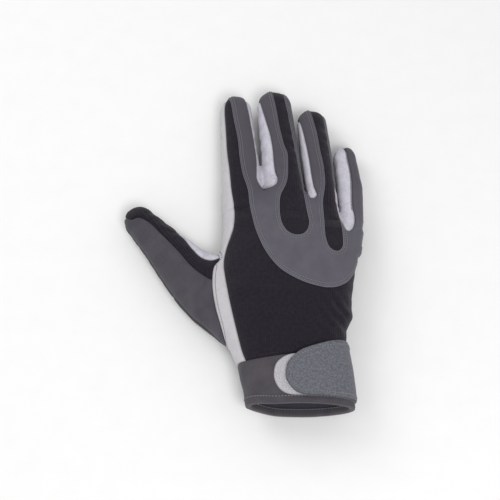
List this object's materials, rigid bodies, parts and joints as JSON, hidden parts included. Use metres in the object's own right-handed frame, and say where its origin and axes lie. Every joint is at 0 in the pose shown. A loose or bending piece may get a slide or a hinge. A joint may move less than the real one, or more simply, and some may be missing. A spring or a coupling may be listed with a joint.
{
  "type": "full-finger sports glove",
  "caption": "Right-hand full-finger glove of suede, knit and leather panels, with bending fingers and thumb and a peel-open wrist strap.",
  "frame": {"origin": "centre of the wrist opening, in the plane of the hem", "axes": "+X towards the little finger, +Y from the cuff to the fingertips, +Z out of the back of the hand; the glove lies palm down"},
  "size_m": [0.1748, 0.2467, 0.045],
  "materials": {
    "suede": "matte brushed synthetic suede, dark grey",
    "knit": "ribbed stretch knit, black",
    "light_leather": "soft light grey leather, fine grain",
    "cuff_fabric": "smooth grey stretch fabric over foam",
    "lining": "brushed lining, dark blue-grey",
    "felt_strap": "brushed loop fabric, mid grey",
    "loop": "light grey loop fabric",
    "hook": "moulded hook tape"
  },
  "bodies": {
    "hand": {"palm_panel": "suede", "crotch_gussets": "light_leather", "web_gusset": "light_leather", "thumb_root_leather": "suede", "thumb_root_knit": "knit", "side_strip": "light_leather", "knuckle_knit_windows": "knit", "knuckle_overlay": "suede", "back_panel": "knit", "palm_patch": "suede", "cuff_band": "cuff_fabric", "cuff_lining": "lining", "hem_binding": "cuff_fabric", "loop_patch": "loop", "strap_anchor": "felt_strap"},
    "strap": {"strap": "felt_strap", "strap_hook_pad": "hook"},
    "index_base": {"index_base_side_walls": "light_leather", "index_base_palm": "suede", "index_base_back_knit": "knit", "index_base_overlay": "suede"},
    "index_tip": {"index_tip_side_walls": "light_leather", "index_tip_palm": "suede", "index_tip_back_knit": "knit", "index_tip_overlay": "suede"},
    "middle_base": {"middle_base_side_walls": "light_leather", "middle_base_palm": "suede", "middle_base_back_knit": "knit", "middle_base_overlay": "suede"},
    "middle_tip": {"middle_tip_side_walls": "light_leather", "middle_tip_palm": "suede", "middle_tip_back_knit": "knit", "middle_tip_overlay": "suede"},
    "ring_base": {"ring_base_side_walls": "light_leather", "ring_base_palm": "suede", "ring_base_back_knit": "knit", "ring_base_overlay": "suede"},
    "ring_tip": {"ring_tip_side_walls": "light_leather", "ring_tip_palm": "suede", "ring_tip_back_knit": "knit", "ring_tip_overlay": "suede"},
    "little_base": {"little_base_side_walls": "light_leather", "little_base_palm": "suede", "little_base_overlay": "suede"},
    "little_tip": {"little_tip_side_walls": "light_leather", "little_tip_palm": "suede", "little_tip_overlay": "suede"},
    "thumb_base": {"thumb_base_palm": "suede", "thumb_base_leather": "suede", "thumb_base_knit": "knit"},
    "thumb_tip": {"thumb_tip_palm": "suede", "thumb_tip_leather": "suede", "thumb_tip_knit": "knit"}
  },
  "joints": [
    {"name": "strap_peel", "type": "hinge", "parent": "hand", "child": "strap", "pos_m": [0.03524, 0.024, 0.01404], "axis": [-0.1107, 0.9936, -0.0204], "range_deg": [0, 110]},
    {"name": "index_knuckle", "type": "hinge", "parent": "hand", "child": "index_base", "pos_m": [-0.04134, 0.17663, -0.00335], "axis": [-0.9973, -0.0732, 0], "range_deg": [0, 60]},
    {"name": "index_middle_joint", "type": "hinge", "parent": "index_base", "child": "index_tip", "pos_m": [-0.0436, 0.20745, -0.00573], "axis": [-0.9973, -0.0732, 0], "range_deg": [0, 70]},
    {"name": "middle_knuckle", "type": "hinge", "parent": "hand", "child": "middle_base", "pos_m": [-0.01102, 0.1766, -0.00298], "axis": [-0.9956, -0.0941, 0], "range_deg": [0, 60]},
    {"name": "middle_middle_joint", "type": "hinge", "parent": "middle_base", "child": "middle_tip", "pos_m": [-0.01422, 0.21036, -0.00547], "axis": [-0.9956, -0.0941, 0], "range_deg": [0, 70]},
    {"name": "ring_knuckle", "type": "hinge", "parent": "hand", "child": "ring_base", "pos_m": [0.01699, 0.1686, -0.00343], "axis": [-0.9942, -0.108, 0], "range_deg": [0, 60]},
    {"name": "ring_middle_joint", "type": "hinge", "parent": "ring_base", "child": "ring_tip", "pos_m": [0.01376, 0.19834, -0.00573], "axis": [-0.9942, -0.108, 0], "range_deg": [0, 70]},
    {"name": "little_knuckle", "type": "hinge", "parent": "hand", "child": "little_base", "pos_m": [0.03874, 0.14463, -0.00535], "axis": [-0.9984, -0.0558, 0], "range_deg": [0, 60]},
    {"name": "little_middle_joint", "type": "hinge", "parent": "little_base", "child": "little_tip", "pos_m": [0.03724, 0.17151, -0.00742], "axis": [-0.9984, -0.0558, 0], "range_deg": [0, 70]},
    {"name": "thumb_base_joint", "type": "hinge", "parent": "hand", "child": "thumb_base", "pos_m": [-0.08636, 0.10775, -0.00639], "axis": [-0.7466, -0.6652, 0], "range_deg": [0, 40]},
    {"name": "thumb_tip_joint", "type": "hinge", "parent": "thumb_base", "child": "thumb_tip", "pos_m": [-0.1043, 0.12788, -0.00781], "axis": [-0.7466, -0.6652, 0], "range_deg": [0, 70]}
  ]
}
